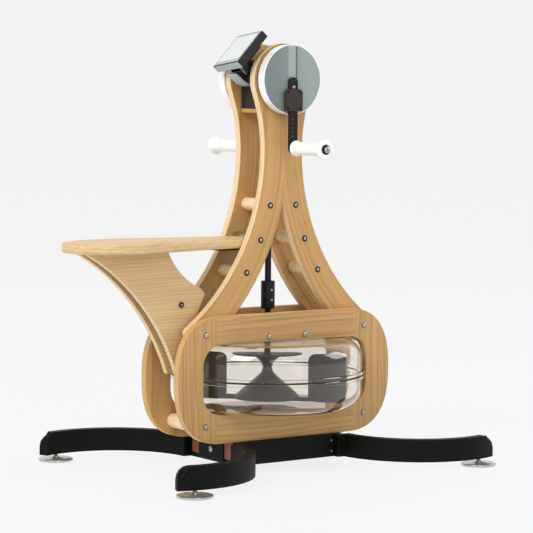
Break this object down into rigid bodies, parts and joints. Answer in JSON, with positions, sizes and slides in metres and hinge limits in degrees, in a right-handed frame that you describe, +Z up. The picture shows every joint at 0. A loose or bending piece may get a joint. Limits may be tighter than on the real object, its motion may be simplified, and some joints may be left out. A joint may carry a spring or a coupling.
{
  "type": "water resistance arm-crank trainer",
  "caption": "Standing ash-framed arm-crank trainer: hand cranks on a tall frame drive a paddle in a clear water tank, with a seat board on one side and a curved black base.",
  "frame": {"origin": "on the floor, under the middle of the machine's bounding box", "axes": "+Z up, the seat towards -X, the rider's right-hand crank towards -Y, the crank shaft along Y"},
  "size_m": [1.172, 0.8102, 1.2098],
  "materials": {
    "ash_dowel": "turned pale ash",
    "ash_wood": "oiled ash, satin",
    "black_lacquer": "black satin lacquer on laminated wood",
    "black_plastic": "fine texture",
    "black_rubber": "matte",
    "black_steel": "black",
    "brushed_steel": "brushed",
    "grey_plastic": "smooth",
    "polycarbonate": "clear, slightly smoky",
    "screen": "pale display window",
    "white_plastic": "white, smooth",
    "zinc_steel": "zinc plated"
  },
  "bodies": {
    "stand": {"base_bow_front": "black_lacquer", "base_bow_rear": "black_lacquer", "base_clamp_front": "black_lacquer", "base_clamp_rear": "black_lacquer", "base_rail_left": "black_lacquer", "base_rail_right": "black_lacquer", "bridge_bush": "zinc_steel", "corner_dowel_front": "ash_dowel", "corner_dowel_rear": "ash_dowel", "crank_bearing_left": "zinc_steel", "crank_bearing_right": "zinc_steel", "filler_plug": "black_plastic", "frame_dowel_front": "ash_dowel", "frame_dowel_rear": "ash_dowel", "gearbox_cover": "black_plastic", "gearbox_shelf": "ash_wood", "lower_dowel_front": "ash_dowel", "lower_dowel_rear": "ash_dowel", "middle_dowel_rear": "ash_dowel", "monitor_arm": "grey_plastic", "seat_bar": "zinc_steel", "seat_board": "ash_wood", "seat_bracket_left": "ash_wood", "seat_bracket_right": "ash_wood", "seat_hook": "black_steel", "seat_spacer": "zinc_steel", "shelf_bush": "zinc_steel", "tank_bridge": "ash_wood", "tank_frame_left": "ash_wood", "tank_frame_right": "ash_wood", "tank_lower_shell": "polycarbonate", "tank_seal": "black_rubber", "tank_upper_shell": "polycarbonate", "upper_dowel_front": "ash_dowel", "upper_dowel_rear": "ash_dowel", "upright_left_front": "ash_wood", "upright_left_rear": "ash_wood", "upright_right_front": "ash_wood", "upright_right_rear": "ash_wood"},
    "crank": {"crank_shaft": "zinc_steel", "crank_gear": "black_steel", "crank_disc_right": "brushed_steel", "crank_disc_left": "brushed_steel", "arm_clamp_right": "black_steel", "arm_clamp_left": "black_steel"},
    "drive": {"drive_shaft": "black_steel", "drive_pinion": "black_steel", "shaft_coupling": "black_steel", "paddle": "black_plastic"},
    "arm_right": {"crank_arm_right": "black_steel"},
    "arm_left": {"crank_arm_left": "black_steel"},
    "grip_right_body": {"grip_right": "white_plastic"},
    "grip_left_body": {"grip_left": "white_plastic"},
    "knuckle": {"monitor_knuckle": "black_plastic"},
    "monitor": {"monitor_housing": "black_plastic", "monitor_screen": "screen"},
    "foot_right_front_body": {"foot_right_front": "zinc_steel"},
    "foot_right_rear_body": {"foot_right_rear": "zinc_steel"},
    "foot_left_front_body": {"foot_left_front": "zinc_steel"},
    "foot_left_rear_body": {"foot_left_rear": "zinc_steel"}
  },
  "joints": [
    {"name": "crank_spin", "type": "hinge", "parent": "stand", "child": "crank", "pos_m": [0.054, 0, 1.0765], "axis": [0, 1, 0], "continuous": true},
    {"name": "drive_spin", "type": "hinge", "parent": "stand", "child": "drive", "pos_m": [0.054, 0, 0.6], "axis": [0, 0, 1], "continuous": true},
    {"name": "arm_length_right", "type": "slide", "parent": "crank", "child": "arm_right", "axis": [0, 0, 1], "range_m": [0, 0.084]},
    {"name": "grip_spin_right", "type": "hinge", "parent": "arm_right", "child": "grip_right_body", "pos_m": [0.054, -0.197, 0.8885], "axis": [0, 1, 0], "continuous": true},
    {"name": "arm_length_left", "type": "slide", "parent": "crank", "child": "arm_left", "axis": [0, 0, 1], "range_m": [0, 0.084]},
    {"name": "grip_spin_left", "type": "hinge", "parent": "arm_left", "child": "grip_left_body", "pos_m": [0.054, 0.197, 0.8885], "axis": [0, 1, 0], "continuous": true},
    {"name": "monitor_swivel", "type": "hinge", "parent": "stand", "child": "knuckle", "pos_m": [-0.055, 0, 1.0815], "axis": [0.6, 0, 0.8], "range_deg": [0, 17.4]},
    {"name": "monitor_tilt", "type": "hinge", "parent": "knuckle", "child": "monitor", "pos_m": [-0.043, 0, 1.0975], "axis": [0.121, 0.9885, -0.0908], "range_deg": [-20, 0]},
    {"name": "foot_level_right_front", "type": "slide", "parent": "stand", "child": "foot_right_front_body", "axis": [0, 0, -1], "range_m": [0, 0.01]},
    {"name": "foot_level_right_rear", "type": "slide", "parent": "stand", "child": "foot_right_rear_body", "axis": [0, 0, -1], "range_m": [0, 0.01]},
    {"name": "foot_level_left_front", "type": "slide", "parent": "stand", "child": "foot_left_front_body", "axis": [0, 0, -1], "range_m": [0, 0.01]},
    {"name": "foot_level_left_rear", "type": "slide", "parent": "stand", "child": "foot_left_rear_body", "axis": [0, 0, -1], "range_m": [0, 0.01]}
  ],
  "couplings": [
    {"joint": "drive_spin", "follows": "crank_spin", "ratio": 2}
  ]
}
